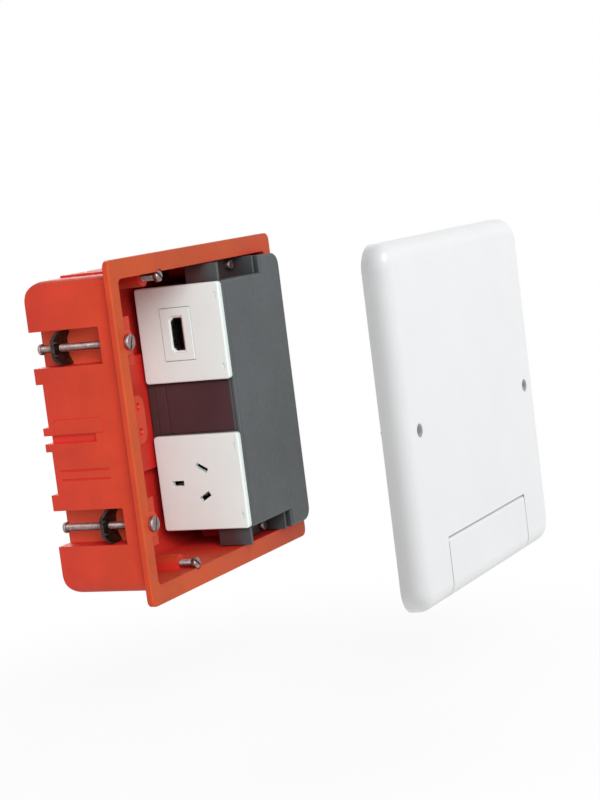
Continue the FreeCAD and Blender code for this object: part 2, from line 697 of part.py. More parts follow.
def data_socket_contacts():
    """The thin contacts along both faces of the tongue, a group of separate strips."""
    start = SOCKET_START + TONGUE_SET_BACK + CONTACT_W
    pitch = (TONGUE_W - 2 * CONTACT_W) / (CONTACT_COUNT - 1)
    strips = []
    for i in range(CONTACT_COUNT):
        side = 1 if i % 2 == 0 else -1
        z = MODULE_Z + (i - (CONTACT_COUNT - 1) / 2) * pitch
        face = KEYSTONE_Y + side * TONGUE_T / 2
        strips.append(block(start, SOCKET_END - TONGUE_BASE_T, face, face + side * CONTACT_T,
                            z - CONTACT_W / 2, z + CONTACT_W / 2))
    return Part.makeCompound(strips)


def data_adapter_body():
    """The moulded block behind the carrier, which joins the front socket to the rear one."""
    half_w = DATA_BODY_W / 2
    half_h = DATA_BODY_H / 2
    body = block(FRAME_FACE + DATA_FRAME_DEPTH, SOCKET_START + DATA_BODY_DEPTH,
                 KEYSTONE_Y - half_w, KEYSTONE_Y + half_w, MODULE_Z - half_h, MODULE_Z + half_h)
    return body.cut(data_prism(0, MODULE_FACE, SOCKET_END))


def data_rear_shell():
    """The metal mouth of the rear socket."""
    start = SOCKET_START + DATA_BODY_DEPTH
    return socket_shell(start, start + REAR_PLUG_DEPTH)


def data_rear_tongue():
    """The tongue of the rear socket."""
    start = SOCKET_START + DATA_BODY_DEPTH
    return socket_tongue(start, start + REAR_PLUG_DEPTH - REAR_TONGUE_IN)


def pin_places():
    """Name, place and slant of each of the power outlet's three slots."""
    for name, radius, turn, slant in (("earth", EARTH_CIRCLE, 0.0, 0.0),
                                      ("active", PIN_CIRCLE, 120.0, PIN_SLANT),
                                      ("neutral", PIN_CIRCLE, 240.0, -PIN_SLANT)):
        angle = math.radians(turn)
        yield name, SOCKET_Y + radius * math.cos(angle), radius * math.sin(angle) - MODULE_Z, slant


def pin_block(long, short, x0, x1, y, z, slant):
    """A block across a slot: long along the slot, short across it."""
    solid = block(x0, x1, y - long / 2, y + long / 2, z - short / 2, z + short / 2)
    solid.rotate(V(x0, y, z), V(1, 0, 0), slant)
    return solid


def power_module_plate():
    """The power module's face, with its three slots."""
    cuts = [pin_block(SLOT_LONG, SLOT_SHORT, MODULE_FACE - PAST, FRAME_FACE + PAST, y, z, slant)
            for name, y, z, slant in pin_places()]
    return module_plate(-MODULE_Z).cut(fuse_group(cuts))


def terminal_places():
    """Name and height of each rear terminal."""
    for name, step in (("earth", -1), ("active", 0), ("neutral", 1)):
        yield name, -MODULE_Z + step * TERMINAL_PITCH


def power_module_body():
    """The power module's moulded body, with a pocket behind each slot and a terminal nook."""
    half_w = MODULE_BODY_W / 2
    half_h = MODULE_BODY_H / 2
    body = block(FRAME_FACE, POWER_BACK, MODULE_Y - half_w, MODULE_Y + half_w,
                 -MODULE_Z - half_h, -MODULE_Z + half_h)
    cuts = [pin_block(POCKET_LONG, POCKET_SHORT, FRAME_FACE - PAST, FRAME_FACE + POCKET_DEPTH,
                      y, z, slant) for name, y, z, slant in pin_places()]
    nook = TERMINAL / 2 + MODULE_FIT
    for name, z in terminal_places():
        cuts.append(block(POWER_BACK - TERMINAL_DEPTH, POWER_BACK + PAST,
                          MODULE_Y - nook, MODULE_Y + nook, z - nook, z + nook))
    return body.cut(fuse_group(cuts))


def power_contact(y, z, slant):
    """A folded contact: two leaves joined at their foot, which stands in a pocket."""
    foot = FRAME_FACE + POCKET_DEPTH
    outer = pin_block(LEAF_LONG, LEAF_GAP + 2 * LEAF_T, foot - LEAF_DEPTH, foot, y, z, slant)
    inner = pin_block(LEAF_LONG + PAST, LEAF_GAP, foot - LEAF_DEPTH - PAST, foot - LEAF_T,
                      y, z, slant)
    return outer.cut(inner)


def terminal_block(z):
    """A brass terminal with a hole for its screw and a wire hole across it."""
    front = POWER_BACK - TERMINAL_DEPTH
    half = TERMINAL / 2
    solid = block(front, POWER_BACK, MODULE_Y - half, MODULE_Y + half, z - half, z + half)
    screw_hole = rod_x(MODULE_Y, z, TERMINAL_SCREW_R + THREAD_GAP, POWER_BACK - TERMINAL_DEPTH / 2,
                       POWER_BACK + PAST)
    wire = Part.makeCylinder(WIRE_HOLE_R, TERMINAL,
                             V(POWER_BACK - WIRE_HOLE_DEPTH, MODULE_Y, z - half), V(0, 0, 1))
    return solid.cut(screw_hole).cut(wire)


def terminal_screw(z):
    """A short slotted terminal screw, its head behind the body."""
    shaft = rod_x(MODULE_Y, z, TERMINAL_SCREW_R, POWER_BACK - TERMINAL_DEPTH / 2, POWER_BACK)
    head = rod_x(MODULE_Y, z, TERMINAL_HEAD_R, POWER_BACK, POWER_BACK + TERMINAL_HEAD_H)
    slot = block(POWER_BACK + TERMINAL_HEAD_H / 2, POWER_BACK + TERMINAL_HEAD_H + PAST,
                 MODULE_Y - TERMINAL_HEAD_R, MODULE_Y + TERMINAL_HEAD_R,
                 z - SLOT_W / 2, z + SLOT_W / 2)
    return fuse([shaft, head]).cut(slot)


def placed(shape):
    """A shape that was modelled around the cover's centre, moved to where the cover is held."""
    shape.translate(V(COVER_ASIDE, 0, -COVER_DROP))
    return shape


def flap_top():
    """The height of the flap's upper edge, from the cover's centre."""
    return -COVER_H / 2 + FLAP_H


def hinge_place():
    """The flap's hinge line as (y, z), from the cover's centre."""
    return COVER_FRONT + KNUCKLE_R, flap_top() - KNUCKLE_R


def cover_form(inset, back):
    """The cover's domed form up to a rear face, drawn in on every side by an inset."""
    front = COVER_FRONT + inset
    form = rounded(COVER_W - 2 * inset, COVER_H - 2 * inset, COVER_R - inset, front, back)
    return form.makeFillet(SHOULDER_R - inset, edges_in_plane(form, 1, front))


def cover_shell():
    """The domed cover as a shell, open behind, before anything is cut in it."""
    return cover_form(0, COVER_BACK).cut(cover_form(COVER_T, COVER_BACK + PAST))


def flap_window(gap):
    """The space that the flap fills, wider by a gap on each side and above."""
    return block(-FLAP_W / 2 - gap, FLAP_W / 2 + gap, COVER_FRONT - PAST, COVER_BACK + PAST,
                 -COVER_H / 2 - PAST, flap_top() + gap)


def cover_plate():
    """The cover: shell, screw cups, locating ribs, and the ears of the flap's hinge."""
    inside = COVER_FRONT + COVER_T / 2
    extras = []
    for side in (-1, 1):
        extras.append(rod_y(side * COVER_SCREW_X, -COVER_SCREW_DROP, CUP_R, inside,
                            COVER_FRONT + CUP_DEPTH + CUP_FLOOR))
        for x in (-LOCATOR_X, LOCATOR_X):
            z = COVER_H / 2 - COVER_T / 2
            extras.append(block(x - LOCATOR_T / 2, x + LOCATOR_T / 2, inside, COVER_BACK - COVER_T,
                                z - COVER_T, z))
            wall = COVER_W / 2 - COVER_T / 2
            extras.append(block(side * (wall - COVER_T), side * wall, inside, COVER_BACK - COVER_T,
                                x - LOCATOR_T / 2, x + LOCATOR_T / 2))
    extras = [piece.common(cover_form(COVER_T / 2, COVER_BACK)) for piece in extras]
    solid = fuse([cover_shell()] + extras).cut(flap_window(FLAP_GAP))
    y, z = hinge_place()
    ears = []
    for side in (-1, 1):
        near = side * (FLAP_W / 2 + FLAP_GAP)
        ears.append(block(near, near + side * HINGE_EAR, inside, y + KNUCKLE_R,
                          z - KNUCKLE_R, z + KNUCKLE_R))
    solid = fuse([solid] + ears)
    cuts = [rod_x(y, z, HINGE_PIN_R + RUNNING_GAP, -FLAP_W / 2 - FLAP_GAP - HINGE_PIN_OUT,
                  FLAP_W / 2 + FLAP_GAP + HINGE_PIN_OUT)]
    for side in (-1, 1):
        cuts.append(rod_y(side * COVER_SCREW_X, -COVER_SCREW_DROP, CUP_R - CUP_WALL,
                          COVER_FRONT - PAST, COVER_FRONT + CUP_DEPTH))
        cuts.append(rod_y(side * COVER_SCREW_X, -COVER_SCREW_DROP, SHAFT_HOLE_R, COVER_FRONT,
                          COVER_BACK))
    return placed(solid.cut(fuse_group(cuts)))


def cover_flap():
    """The cable flap: a cut of the same shell, with a knuckle and two hinge pins."""
    y, z = hinge_place()
    leaf = cover_shell().common(block(-FLAP_W / 2, FLAP_W / 2, COVER_FRONT - PAST, COVER_BACK + PAST,
                                      -COVER_H / 2 - PAST, z))
    knuckle = rod_x(y, z, KNUCKLE_R, -FLAP_W / 2, FLAP_W / 2)
    reach = FLAP_W / 2 + HINGE_PIN_OUT
    pin = rod_x(y, z, HINGE_PIN_R, -reach, reach)
    finger = block(-FINGER_W / 2, FINGER_W / 2, COVER_BACK - FINGER_DEPTH, COVER_BACK + PAST,
                   -COVER_H / 2 - PAST, -COVER_H / 2 + COVER_T + PAST)
    return placed(fuse([leaf, knuckle, pin]).cut(finger))


def cover_screw(side):
    """A cover screw standing in its cup."""
    seat = COVER_FRONT + CUP_DEPTH
    return placed(screw(side * COVER_SCREW_X, -COVER_SCREW_DROP, seat, seat + COVER_SCREW_LENGTH,
                        SMALL_HEAD_R, turn=COVER_SLOT_TURN * side))


def build():
    """Every piece of the object, by name."""
    parts = {"back_box": back_box()}
    for name, side, height, rest in clamp_places():
        parts["clamp_screw_" + name] = clamp_screw(side, height)
        parts["clamp_claw_" + name] = clamp_claw(side, height, rest)
    for name, side in (("top", 1), ("bottom", -1)):
        parts["box_screw_" + name] = screw(-BOX_BOSS_X, side * BOX_BOSS_Z, FRONT + HEAD_H,
                                           BOX_SCREW_END, SMALL_HEAD_R, turn=BOX_SLOT_TURN)
        parts["insert_screw_" + name] = screw(INSERT_BOSS_X, side * INSERT_BOSS_Z, EAR_FRONT,
                                              INSERT_SCREW_END, SMALL_HEAD_R,
                                              turn=INSERT_SLOT_TURN)
    parts["insert_housing"] = insert_housing()
    parts["side_frame"] = side_frame()
    parts["blank_strip"] = blank_strip()
    parts["data_module_plate"] = data_module_plate()
    parts["data_module_frame"] = data_module_frame()
    parts["keystone_carrier"] = keystone_carrier()
    parts["data_socket_shell"] = socket_shell(SOCKET_START, SOCKET_END)
    parts["data_socket_tongue"] = data_socket_tongue()
    parts["data_socket_contacts"] = data_socket_contacts()
    parts["data_adapter_body"] = data_adapter_body()
    parts["data_rear_shell"] = data_rear_shell()
    parts["data_rear_tongue"] = data_rear_tongue()
    parts["power_module_plate"] = power_module_plate()
    parts["power_module_body"] = power_module_body()
    for name, y, z, slant in pin_places():
        parts[name + "_contact"] = power_contact(y, z, slant)
    for name, z in terminal_places():
        parts[name + "_terminal"] = terminal_block(z)
        parts[name + "_terminal_screw"] = terminal_screw(z)
    parts["cover_plate"] = cover_plate()
    parts["cover_flap"] = cover_flap()
    parts["cover_screw_left"] = cover_screw(-1)
    parts["cover_screw_right"] = cover_screw(1)
    return parts


def main():
    """Write each piece to its own STEP file and say what it measures."""
    os.makedirs("parts", exist_ok=True)
    for name, shape in build().items():
        shape.exportStep("parts/" + name + ".step")
        box = shape.BoundBox
        print(f"{name:24s} solids {len(shape.Solids)} volume {shape.Volume:9.1f} "
              f"x {box.XMin:7.1f} {box.XMax:7.1f} y {box.YMin:7.1f} {box.YMax:7.1f} "
              f"z {box.ZMin:7.1f} {box.ZMax:7.1f} valid {shape.isValid()}")


main()
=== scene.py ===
"""A flush back box with its insert, its two modules and its cover plate, dressed for a close view.

Every length is in metres, in the part's own frame: X right, Y into the wall, Z up.
"""
import json
import math

import bmesh
import bpy
from mathutils import Matrix, Vector


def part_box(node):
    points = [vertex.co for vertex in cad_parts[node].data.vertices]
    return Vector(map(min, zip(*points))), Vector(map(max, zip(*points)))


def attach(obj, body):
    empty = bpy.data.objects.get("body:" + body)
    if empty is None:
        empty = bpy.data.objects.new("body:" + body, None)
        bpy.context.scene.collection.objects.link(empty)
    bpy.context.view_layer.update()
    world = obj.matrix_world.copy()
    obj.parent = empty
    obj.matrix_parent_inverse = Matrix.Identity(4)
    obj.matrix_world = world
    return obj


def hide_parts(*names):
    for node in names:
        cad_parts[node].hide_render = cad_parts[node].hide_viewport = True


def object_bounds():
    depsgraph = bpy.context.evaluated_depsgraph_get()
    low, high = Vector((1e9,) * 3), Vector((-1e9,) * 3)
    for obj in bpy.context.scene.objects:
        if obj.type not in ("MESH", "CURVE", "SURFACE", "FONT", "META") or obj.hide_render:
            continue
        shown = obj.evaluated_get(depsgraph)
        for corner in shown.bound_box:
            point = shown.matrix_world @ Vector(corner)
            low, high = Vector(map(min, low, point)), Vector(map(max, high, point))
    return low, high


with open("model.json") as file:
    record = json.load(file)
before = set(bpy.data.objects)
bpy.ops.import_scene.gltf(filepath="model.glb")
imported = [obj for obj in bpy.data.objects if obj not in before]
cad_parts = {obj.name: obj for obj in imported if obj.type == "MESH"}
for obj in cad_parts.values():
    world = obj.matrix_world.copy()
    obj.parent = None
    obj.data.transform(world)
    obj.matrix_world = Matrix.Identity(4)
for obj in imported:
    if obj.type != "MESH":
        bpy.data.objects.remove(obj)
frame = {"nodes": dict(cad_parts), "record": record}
NODES = frame["nodes"]
CAD_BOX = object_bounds()

MM = 0.001

# The view of the photograph
CAMERA_AT = Vector((-0.8019, -0.4545, 0.0994))
CAMERA_AZIMUTH = 63.06
CAMERA_ELEVATION = -6.23
CAMERA_ROLL = -7.21
CAMERA_LENS = 91.0
CAMERA_SENSOR = 36.0
CAMERA_SIGHT = 50.0

# Surroundings
FLOOR_DROP = 0.055
FLOOR_SIZE = 12.0
FLOOR_COLOUR = (0.93, 0.93, 0.93, 1.0)
SHADOW_REACH = (0.1, 0.3)
SHADOW_GLOW = (0.88, 1.0)
SKY_LIGHT = 0.36

# Lamps: the place, what they point at, the size of the square and the power in watts
BOX_KEY = ((-1.35, -1.15, 0.8), (0.0, 0.0, 0.0), 1.1, 31.0)
COVER_KEY = ((0.2, -1.5, 1.2), (0.02, -0.12, 0.0), 0.8, 22.0)
BACK_FILL = ((1.3, 1.5, 0.9), (0.0, 0.0, 0.0), 1.2, 18.0)

# Surface colours, from 0 to 255
BOX_COLOUR = (196, 64, 37)
BOX_FACE_COLOUR = (192, 79, 40)
BOX_BACK_COLOUR = (194, 58, 42)
# Painted shade and painted red bounce light, mixed into the box's hollows and corners
BOX_PAINTED_SHADE_AND_BOUNCE_COLOUR = (230, 42, 44)
# Painted light: a lighter orange on the clamp channels' floors in place of their painted shade
BOX_RECESS_PAINTED_LIGHT_COLOUR = (240, 100, 68)
INSERT_COLOUR = (78, 83, 85)
# Painted shade with a red cast from the box, on the insert behind its front face
INSERT_PAINTED_SHADE_COLOUR = (86, 56, 56)
BLANK_COLOUR = (72, 50, 54)
MODULE_COLOUR = (232, 244, 241)
MODULE_BODY_COLOUR = (150, 150, 147)
COVER_COLOUR = (232, 233, 234)
SCREW_COLOUR = (160, 142, 140)
CLAW_COLOUR = (62, 54, 50)
SOCKET_COLOUR = (120, 116, 112)
INSULATOR_COLOUR = (20, 19, 19)
GOLD_COLOUR = (226, 186, 98)
BRASS_COLOUR = (168, 132, 74)
RUST_COLOUR = (120, 82, 60)

# Where a moulding's colour changes, from one place along Y to another
BEHIND_FLANGE = (-2.6 * MM, -1.6 * MM)
DOWN_THE_BOX = (4 * MM, 40 * MM)
# Behind the insert's front face the grey turns to painted shade
BEHIND_INSERT_FACE = (-4 * MM, 2 * MM)

# The floors of the clamp channels, which get painted light: how far they lie from the middle, and
# a band round that
RECESS_FLOOR = 61.5 * MM
RECESS_BAND = 2.5 * MM

# Noise, in cells to the metre
CLOUD_CELLS = 38.0
FLOW_CELLS = 16.0
RUN_CELLS = 60.0
SHEEN_CELLS = 420.0
SINK_CELLS = 55.0
GRAIN_CELLS = 2600.0
INSERT_GRAIN_CELLS = 1900.0
COVER_GRAIN_CELLS = 900.0
PLATING_CELLS = 700.0
WORN_CELLS = 1600.0
TURNED_CELLS = 900.0
OXIDE_CELLS = 360.0
RUST_CELLS = 900.0
SCRATCH_CELLS = 1400.0
TARNISH_CELLS = 800.0
BRASS_SHEEN_CELLS = 1500.0
BRASS_GRAIN_CELLS = 2400.0

# The band of a noise, or of how open a place is for the painted corner shade, that is drawn out to
# the full range
MIDDLE_BAND = (0.3, 0.7)
FLOW_BAND = (0.42, 0.62)
PLATING_BAND = (0.35, 0.65)
WORN_BAND = (0.56, 0.68)
OXIDE_BAND = (0.38, 0.64)
RUST_BAND = (0.6, 0.72)
TARNISH_BAND = (0.35, 0.7)
OPEN_BAND = (0.35, 0.95)

# How much flow lines and rust show, and how dark the painted shade in a hollow and a worn spot are
FLOW_SHARE = 0.35
RUST_SHARE = 0.35
HALF_DARK = 0.5

# Heights of the relief that is only shaded, and the rounding of edges
SINK_HEIGHT = 0.6 * MM
GRAIN_HEIGHT = 0.06 * MM
TURNED_HEIGHT = 0.04 * MM
SCRATCH_HEIGHT = 0.05 * MM
BRASS_GRAIN_HEIGHT = 0.03 * MM
MOULDED_EDGE = 0.35 * MM
TURNED_EDGE = 0.12 * MM
PRESSED_EDGE = 0.15 * MM
BRASS_EDGE = 0.08 * MM
SHADE_SAMPLES = 4

# Slotted screws with a rolled thread
SHAFT_R = 1.75 * MM
THREAD_DEPTH = 0.3 * MM
THREAD_PITCH = 0.6 * MM
RINGS_TO_PITCH = 8
SHAFT_SIDES = 24
HEAD_SIDES = 48
HEAD_DEPTH = 2.2 * MM
HEAD_DOME = 0.8 * MM
HEAD_LIP = 0.25 * MM
HEAD_FLAT = 0.3
DOME_STEPS = 6
LIP_STEPS = 3
SLOT_WIDTH = 1.0 * MM
SLOT_DEPTH = 1.1 * MM
SPREAD_TIP = 1.4 * MM
SPREAD_TIP_R = 2.5 * MM

# The turn of each screw's slot, in degrees
CLAMP_TURN = 20.0
COVER_TURN = 35.0
BOX_TURN = 50.0
INSERT_TURN = 15.0

# Claws with worn edges, and which edges are sharp or flat, in degrees
CLAW_EDGE = 0.2 * MM
WELD_DISTANCE = 0.002 * MM
FLAT_ANGLE = 1.0
WORN_ANGLE = 30.0
SHARP_ANGLE = 35.0


def linear(colour):
    """A colour given in 0 to 255 as Blender's linear values, with alpha."""
    values = []
    for value in colour:
        v = value / 255.0
        values.append(v / 12.92 if v <= 0.04045 else ((v + 0.055) / 1.055) ** 2.4)
    return (*values, 1.0)


def scaled(colour, factor):
    """A colour made darker or lighter, still in 0 to 255."""
    return tuple(max(0.0, min(255.0, value * factor)) for value in colour)


class Surface:
    """A material's nodes, with short calls for the few kinds used here."""

    def __init__(self, name, **shader_values):
        self.material = bpy.data.materials.new(name)
        self.material.use_nodes = True
        self.tree = self.material.node_tree
        self.tree.nodes.clear()
        self.shader = self.add("ShaderNodeBsdfPrincipled", **shader_values)
        output = self.add("ShaderNodeOutputMaterial")
        self.join(self.shader.outputs["BSDF"], output.inputs["Surface"])
        self.place = self.add("ShaderNodeTexCoord").outputs["Object"]

    def add(self, kind, **values):
        """A node of a kind, with its inputs set by name."""
        node = self.tree.nodes.new(kind)
        for key, value in values.items():
            node.inputs[key.replace("_", " ")].default_value = value
        return node

    def join(self, source, target):
        """A link from one socket to another."""
        self.tree.links.new(source, target)

    def stretched(self, x, y, z):
        """The place on the surface, scaled along each axis."""
        node = self.add("ShaderNodeMapping")
        node.inputs["Scale"].default_value = (x, y, z)
        self.join(self.place, node.inputs["Vector"])
        return node.outputs["Vector"]

    def noise(self, scale, detail=4.0, roughness=0.55, at=None):
        """Noise of a given number of cells to the metre."""
        node = self.add("ShaderNodeTexNoise", Scale=scale, Detail=detail, Roughness=roughness)
        self.join(at or self.place, node.inputs["Vector"])
        return node.outputs["Fac"]

    def spread(self, source, low, high, to_low=0.0, to_high=1.0):
        """A value moved from one range to another, and kept inside it."""
        node = self.add("ShaderNodeMapRange", From_Min=low, From_Max=high, To_Min=to_low,
                        To_Max=to_high)
        self.join(source, node.inputs["Value"])
        return node.outputs["Result"]

    def mix(self, amount, first, second):
        """Two colours, or colour sockets, mixed by an amount."""
        node = self.tree.nodes.new("ShaderNodeMix")
        node.data_type = "RGBA"
        sockets = [s for s in node.inputs if s.enabled]
        for socket, value in zip(sockets, (amount, first, second)):
            if isinstance(value, bpy.types.NodeSocket):
                self.join(value, socket)
            else:
                socket.default_value = value
        return next(s for s in node.outputs if s.enabled)

    def shades(self, amount, colour, darkest, lightest):
        """A colour that runs by an amount from one factor of its brightness to another."""
        return self.mix(amount, linear(scaled(colour, darkest)), linear(scaled(colour, lightest)))

    def painted_corner_shade(self, reach, most):
        """The share of painted shade at a point, from 0 in the open up to a given value in a
        corner.
        """
        node = self.add("ShaderNodeAmbientOcclusion", Distance=reach)
        node.samples = SHADE_SAMPLES
        return self.spread(node.outputs["AO"], *OPEN_BAND, to_low=most, to_high=0.0)

    def along(self, vector, axis):
        """One part of a vector."""
        parts = self.add("ShaderNodeSeparateXYZ")
        self.join(vector, parts.inputs["Vector"])
        return parts.outputs[axis]

    def depth(self, start, end):
        """0 up to one place along Y, and 1 past another."""
        return self.spread(self.along(self.place, "Y"), start, end)

    def facing_out(self, at, band):
        """1 on faces that look away from the middle along X and lie that far from it, else 0."""
        normal = self.add("ShaderNodeNewGeometry").outputs["True Normal"]
        product = self.add("ShaderNodeMath")
        product.operation = "MULTIPLY"
        self.join(self.along(self.place, "X"), product.inputs[0])
        self.join(self.along(normal, "X"), product.inputs[1])
        near = self.add("ShaderNodeMath")
        near.operation = "COMPARE"
        self.join(product.outputs["Value"], near.inputs[0])
        near.inputs[1].default_value = at
        near.inputs[2].default_value = band
        return near.outputs["Value"]

    def soft_edges(self, radius):
        """A normal that rounds every sharp edge by a radius."""
        node = self.add("ShaderNodeBevel", Radius=radius)
        node.samples = SHADE_SAMPLES
        return node.outputs["Normal"]

    def bump(self, height, strength, distance, under):
        """A bump from a height, on top of another normal."""
        node = self.add("ShaderNodeBump", Strength=strength, Distance=distance)
        self.join(height, node.inputs["Height"])
        self.join(under, node.inputs["Normal"])
        return node.outputs["Normal"]

    def finish(self, colour, rough, normal):
        """Link colour, roughness and normal to the shader, and give the material back."""
        self.join(colour, self.shader.inputs["Base Color"])
        self.join(rough, self.shader.inputs["Roughness"])
        self.join(normal, self.shader.inputs["Normal"])
        return self.material


def moulded_plastic(name, colour, rough, grain, mottle=0.06, painted_shade_colour=None, painted_shade_most=0.3,
                    painted_shade_reach=6 * MM, specular=0.5, grain_cells=GRAIN_CELLS, runs=(),
                    recess_light=None):
    """A moulded plastic: cloudy colour, flow lines, a fine spark-eroded grain, sink marks and
    painted shade in its hollows.

    Each run is (colour, (start, end)): from start to end along Y, what is in front of it gives
    way to the colour. On the clamp channels' floors the painted shade gives way to a lighter
    colour, which is painted light.
    """
    s = Surface(name, Specular_IOR_Level=specular)
    base = s.shades(s.spread(s.noise(CLOUD_CELLS), *MIDDLE_BAND), colour, 1 - mottle, 1 + mottle)
    flow = s.noise(FLOW_CELLS, detail=2.0, roughness=0.4, at=s.stretched(1.0, 6.0, 1.0))
    shown = s.mix(s.spread(flow, *FLOW_BAND, to_high=FLOW_SHARE), base,
                  linear(scaled(colour, 1 + mottle)))
    for run_colour, (start, end) in runs:
        cloud = s.spread(s.noise(RUN_CELLS, detail=5.0), *MIDDLE_BAND)
        shown = s.mix(s.depth(start, end), shown,
                      s.shades(cloud, run_colour, darkest=0.95, lightest=1.04))
    # Painted shade: hollows and corners are darkened by ambient occlusion towards a shade colour,
    # or towards half the brightness if no shade colour is given
    painted_shade = linear(painted_shade_colour or scaled(colour, HALF_DARK))
    # On the channel floors the painted shade turns to a lighter colour, which is painted light
    if recess_light:
        painted_shade = s.mix(s.facing_out(RECESS_FLOOR, RECESS_BAND), painted_shade, linear(recess_light))
    shown = s.mix(s.painted_corner_shade(painted_shade_reach, painted_shade_most), shown, painted_shade)
    gloss = s.spread(s.noise(SHEEN_CELLS), *MIDDLE_BAND, rough - 0.05, rough + 0.07)
    sunk = s.bump(s.noise(SINK_CELLS, detail=1.0, roughness=0.4), strength=0.12,
                  distance=SINK_HEIGHT, under=s.soft_edges(MOULDED_EDGE))
    grained = s.bump(s.noise(grain_cells, detail=3.0), strength=grain, distance=GRAIN_HEIGHT,
                     under=sunk)
    return s.finish(shown, gloss, grained)


def plated_steel(name, colour, rough, worn):
    """Plated steel: turned marks round the axis, passivation clouds and dull worn spots."""
    s = Surface(name, Metallic=1.0, Anisotropic=0.35)
    cloud = s.spread(s.noise(PLATING_CELLS, detail=3.0), *PLATING_BAND)
    base = s.shades(cloud, colour, darkest=0.86, lightest=1.1)
    spots = s.spread(s.noise(WORN_CELLS, detail=5.0, roughness=0.7), *WORN_BAND, to_high=worn)
    spotted = s.mix(spots, base, linear(scaled(colour, HALF_DARK)))
    marks = s.noise(TURNED_CELLS, detail=2.0, roughness=0.5, at=s.stretched(1.0, 14.0, 1.0))
    gloss = s.spread(marks, *MIDDLE_BAND, rough - 0.08, rough + 0.12)
    turned_marks = s.bump(marks, strength=0.25, distance=TURNED_HEIGHT,
                          under=s.soft_edges(TURNED_EDGE))
    return s.finish(spotted, gloss, turned_marks)


def oiled_steel(name, colour):
    """Pressed dark steel: mottled oxide with an oily sheen and scratches."""
    s = Surface(name, Metallic=0.85)
    oxide = s.spread(s.noise(OXIDE_CELLS, detail=6.0, roughness=0.65), *OXIDE_BAND)
    base = s.shades(oxide, colour, darkest=0.55, lightest=1.25)
    rust = s.spread(s.noise(RUST_CELLS), *RUST_BAND, to_high=RUST_SHARE)
    rusted = s.mix(rust, base, linear(RUST_COLOUR))
    scratch = s.noise(SCRATCH_CELLS, detail=1.0, roughness=0.3, at=s.stretched(9.0, 1.0, 1.0))
    gloss = s.spread(oxide, 0.0, 1.0, to_low=0.5, to_high=0.3)
    scratched = s.bump(scratch, strength=0.3, distance=SCRATCH_HEIGHT,
                       under=s.soft_edges(PRESSED_EDGE))
    return s.finish(rusted, gloss, scratched)


def plated_brass(name, colour, rough):
    """Brass or gold plate with a soft cloud of tarnish."""
    s = Surface(name, Metallic=1.0)
    cloud = s.spread(s.noise(TARNISH_CELLS), *TARNISH_BAND)
    base = s.shades(cloud, colour, darkest=0.8, lightest=1.08)
    gloss = s.spread(s.noise(BRASS_SHEEN_CELLS), *MIDDLE_BAND, rough - 0.05, rough + 0.1)
    grained = s.bump(s.noise(BRASS_GRAIN_CELLS), strength=0.1, distance=BRASS_GRAIN_HEIGHT,
                     under=s.soft_edges(BRASS_EDGE))
    return s.finish(base, gloss, grained)


def make_materials():
    """Every surface by the record's slot name."""
    return {
        "box_plastic": moulded_plastic(
            "box_moulding", BOX_FACE_COLOUR, rough=0.48, grain=0.3, mottle=0.05,
            painted_shade_colour=BOX_PAINTED_SHADE_AND_BOUNCE_COLOUR, painted_shade_most=0.85, painted_shade_reach=14 * MM, specular=0.18,
            runs=((BOX_COLOUR, BEHIND_FLANGE), (BOX_BACK_COLOUR, DOWN_THE_BOX)),
            recess_light=BOX_RECESS_PAINTED_LIGHT_COLOUR),
        "insert_plastic": moulded_plastic(
            "insert_moulding", INSERT_COLOUR, rough=0.5, grain=0.6, painted_shade_most=0.8,
            painted_shade_reach=16 * MM, specular=0.4, grain_cells=INSERT_GRAIN_CELLS,
            runs=((INSERT_PAINTED_SHADE_COLOUR, BEHIND_INSERT_FACE),)),
        "blank_plastic": moulded_plastic("blank_moulding", BLANK_COLOUR, rough=0.4, grain=0.4),
        "module_plastic": moulded_plastic(
            "module_moulding", MODULE_COLOUR, rough=0.34, grain=0.15, mottle=0.012,
            painted_shade_most=0.06),
        # Painted shade: the module body's socket slots and hollows are darkened almost to the
        # insulator's black
        "module_body_plastic": moulded_plastic(
            "module_body_moulding", MODULE_BODY_COLOUR, rough=0.5, grain=0.4, mottle=0.04,
            painted_shade_colour=INSULATOR_COLOUR, painted_shade_most=0.95, painted_shade_reach=12 * MM),
        "cover_plastic": moulded_plastic(
            "cover_moulding", COVER_COLOUR, rough=0.36, grain=0.03, mottle=0.006,
            painted_shade_most=0.25, grain_cells=COVER_GRAIN_CELLS),
        "screw_steel": plated_steel("screw_plating", SCREW_COLOUR, rough=0.44, worn=0.5),
        "terminal_screw_steel": plated_steel(
            "terminal_screw_plating", SCREW_COLOUR, rough=0.3, worn=0.3),
        "claw_steel": oiled_steel("claw_oxide", CLAW_COLOUR),
        "socket_metal": plated_steel("socket_tin", SOCKET_COLOUR, rough=0.3, worn=0.3),
        "socket_insulator": moulded_plastic(
            "socket_moulding", INSULATOR_COLOUR, rough=0.4, grain=0.3),
        "contact_metal": plated_brass("contact_gold", GOLD_COLOUR, rough=0.25),
        "terminal_brass": plated_brass("terminal_brass", BRASS_COLOUR, rough=0.3),
    }


def dress(materials):
    """Give every node the surface of its slot."""
    for part in frame["record"]["subparts"]:
        node = NODES[part["node"]]
        node.data.materials.clear()
        node.data.materials.append(materials[part["material_slot"]])


def slot_of(node):
    """The material slot that the record gives a node."""
    return next(p["material_slot"] for p in frame["record"]["subparts"] if p["node"] == node)


def body_of(node):
    """The body that a node belongs to."""
    return next(b for b, nodes in frame["record"]["behaviour"]["bodies"].items() if node in nodes)


def stand_in(mesh, node, materials):
    """Show a mesh in place of a node, on the same body and with the same surface."""
    piece = bpy.data.objects.new(node + "_detailed", mesh)
    bpy.context.scene.collection.objects.link(piece)
    mesh.materials.clear()
    mesh.materials.append(materials[slot_of(node)])
    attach(piece, body_of(node))
    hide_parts(node)
    return piece


